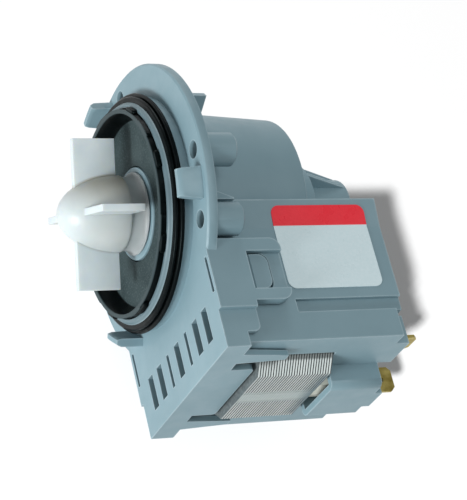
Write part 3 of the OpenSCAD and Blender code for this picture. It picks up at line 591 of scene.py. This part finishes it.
def rim_clips(name, steps=13, sides=16):
    """
    Clips round the X axis. Along a clip, s runs from just above -1 to just below 1, the angle is the clip's
    middle plus s times half the arc, and the section is scaled by the fourth root of one less the sixth
    power of s. Round the section, a point lies on a superellipse of power 4 about the section's middle.
    """
    s = np.linspace(-CLIP_END, CLIP_END, steps)
    scale = (1 - s ** 6) ** 0.25
    middle = np.arange(CLIPS) * 2 * np.pi / CLIPS
    angle = middle[:, None] + s * CLIP_ARC / 2
    turn = np.arange(sides) * 2 * np.pi / sides
    across = np.sign(np.cos(turn)) * np.sqrt(np.abs(np.cos(turn)))
    deep = np.sign(np.sin(turn)) * np.sqrt(np.abs(np.sin(turn)))
    inner, outer = shield_high.y - CLIP_BASE, shield_high.y + CLIP_REACH
    front, back = shield_low.x + CLIP_LIFT, shield_low.x + LIP_DEPTH
    radius = (inner + outer) / 2 + scale[:, None] * across * (outer - inner) / 2
    x = (front + back) / 2 + scale[:, None] * deep * (back - front) / 2
    points = np.empty((CLIPS, steps, sides, 3))
    points[..., 0] = x
    points[..., 1] = radius * np.cos(angle)[..., None]
    points[..., 2] = radius * np.sin(angle)[..., None]

    ring = np.arange(CLIPS * steps * sides).reshape(CLIPS, steps, sides)
    beside = np.roll(ring, -1, axis=2)
    quads = np.stack((ring[:, :-1], ring[:, 1:], beside[:, 1:], beside[:, :-1]), axis=-1)
    ends = np.concatenate((ring[:, 0], ring[:, -1, ::-1]))
    mesh = bpy.data.meshes.new(name)
    mesh.from_pydata(points.reshape(-1, 3), [], quads.reshape(-1, 4).tolist() + ends.tolist())
    mesh.polygons.foreach_set("use_smooth", np.ones(len(mesh.polygons), dtype=bool))
    mesh.materials.append(finishes["dark_plastic"].material)
    clips = bpy.data.objects.new(name, mesh)
    bpy.context.scene.collection.objects.link(clips)
    print(name, CLIPS, "clips,", len(mesh.polygons), "faces")
    return clips


clips = rim_clips("dish_rim_clips")
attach(clips, "housing")

# %% [markdown]
# The pump lies on a plain white table, which is one large square. Its paint is white for the camera and in
# reflections, and a middle grey for light that bounces on to the pump, so that the table doesn't flood the
# undersides of the parts with light.

# %% Table
TABLE_HALF = 1.5
table_z = cad_box[0][2]
table_mesh = bpy.data.meshes.new("table")
table_corners = [
    (-TABLE_HALF, -TABLE_HALF, table_z), (TABLE_HALF, -TABLE_HALF, table_z),
    (TABLE_HALF, TABLE_HALF, table_z), (-TABLE_HALF, TABLE_HALF, table_z),
]
table_mesh.from_pydata(table_corners, [], [(0, 1, 2, 3)])
table = bpy.data.objects.new("table", table_mesh)
bpy.context.scene.collection.objects.link(table)
print("table at", round(table_z, 4))

# %% Table paint
PLAIN_GREY = (0.57, 0.57, 0.57, 1)
SHOWN_WHITE = (0.85, 0.85, 0.85, 1)
paint = bpy.data.materials.new("table_paint")
paint.use_nodes = True
tree = paint.node_tree
tree.nodes.clear()
ray = tree.nodes.new("ShaderNodeLightPath")
plain = tree.nodes.new("ShaderNodeBsdfDiffuse")
plain.inputs["Color"].default_value = PLAIN_GREY
shown = tree.nodes.new("ShaderNodeBsdfDiffuse")
shown.inputs["Color"].default_value = SHOWN_WHITE
direct = tree.nodes.new("ShaderNodeMath")
direct.operation = "MAXIMUM"
tree.links.new(ray.outputs["Is Camera Ray"], direct.inputs[0])
tree.links.new(ray.outputs["Is Glossy Ray"], direct.inputs[1])
seen = tree.nodes.new("ShaderNodeMath")
seen.operation = "MAXIMUM"
tree.links.new(direct.outputs["Value"], seen.inputs[0])
tree.links.new(ray.outputs["Is Transmission Ray"], seen.inputs[1])
either = tree.nodes.new("ShaderNodeMixShader")
tree.links.new(seen.outputs["Value"], either.inputs["Fac"])
tree.links.new(plain.outputs["BSDF"], either.inputs[1])
tree.links.new(shown.outputs["BSDF"], either.inputs[2])
out = tree.nodes.new("ShaderNodeOutputMaterial")
tree.links.new(either.outputs["Shader"], out.inputs["Surface"])
table_mesh.materials.append(paint)
print("table paint", len(tree.nodes), "nodes")

# %% [markdown]
# A product photographer lights the thing and the table apart. A panel at the left models the pump, weaker
# ones from the far side and from above open its shadows, and two more light only the core and the bobbins,
# which lie in a deep opening. A lamp of its own whitens the table, and only the case, with its label and
# terminals, is let into its beam, so one soft shadow falls to the right. Light linking does the flagging:
# each lamp names what it may light and, where that matters, what may stand in its way.

# %% What each lamp lights


def light_group(name, parts):
    """A collection that a lamp can name as what it lights, or as what casts its shadow."""
    group = bpy.data.collections.new(name)
    for part in parts:
        group.objects.link(part)
    return group


bobbins = [nodes["label_side_bobbin"], nodes["far_side_bobbin"]]
shadow_nodes = ("stator_case", "rating_label", "label_side_terminal", "far_side_terminal")
pump_group = light_group("lit_pump", (*nodes.values(), *coils, clips))
white_nodes = ("impeller", "impeller_hub_cap")
dark_parts = [part for node, part in nodes.items() if node not in white_nodes]
dark_group = light_group("lit_without_impeller", (*dark_parts, *coils, clips))
core_group = light_group("lit_core", [nodes["stator_core"]])
bobbin_group = light_group("lit_bobbins", bobbins)
table_group = light_group("lit_table", [table])
case_group = light_group("case_shadow", [nodes[node] for node in shadow_nodes])

# %% Lamps and world
AIM = Vector((0.01, -0.01, 0))
WORLD_LEVEL = 0.28


def panel_light(name, toward, size, level, lit, distance=0.9):
    """A soft panel that looks at the pump from a direction. A white wall that faces it shows as level."""
    place = AIM + Vector(toward).normalized() * distance
    data = bpy.data.lights.new(name, "AREA")
    data.size = size
    data.energy = level * (np.pi * distance) ** 2
    lamp = bpy.data.objects.new(name, data)
    lamp.location = place
    lamp.rotation_euler = (AIM - place).to_track_quat("-Z", "Y").to_euler()
    lamp.light_linking.receiver_collection = lit
    bpy.context.scene.collection.objects.link(lamp)
    return lamp


panel_light("left_panel", (-0.85, -0.42, 0.12), 0.3, 0.86, pump_group)
panel_light("far_panel", (0.1, 0.95, 0.3), 0.4, 0.28, dark_group)
panel_light("top_panel", (0.15, -0.1, 1), 0.5, 0.31, pump_group)
panel_light("core_strip", (0.2, -0.15, 1), 0.3, 0.8, core_group)
panel_light("bobbin_strip", (-0.43, -0.46, 0.78), 0.1, 0.9, bobbin_group)
table_lamp = panel_light("table_lamp", (-0.76, -0.62, 1), 0.18, 1.36, table_group, distance=4)
table_lamp.light_linking.blocker_collection = case_group
world = bpy.data.worlds.new("studio")
world.use_nodes = True
background = world.node_tree.nodes["Background"]
background.inputs["Color"].default_value = (1, 1, 1, 1)
background.inputs["Strength"].default_value = WORLD_LEVEL
bpy.context.scene.world = world
bpy.context.scene.view_settings.view_transform = "Standard"
lamps = [thing for thing in bpy.context.scene.objects if thing.type == "LIGHT"]
print("lamps", len(lamps))
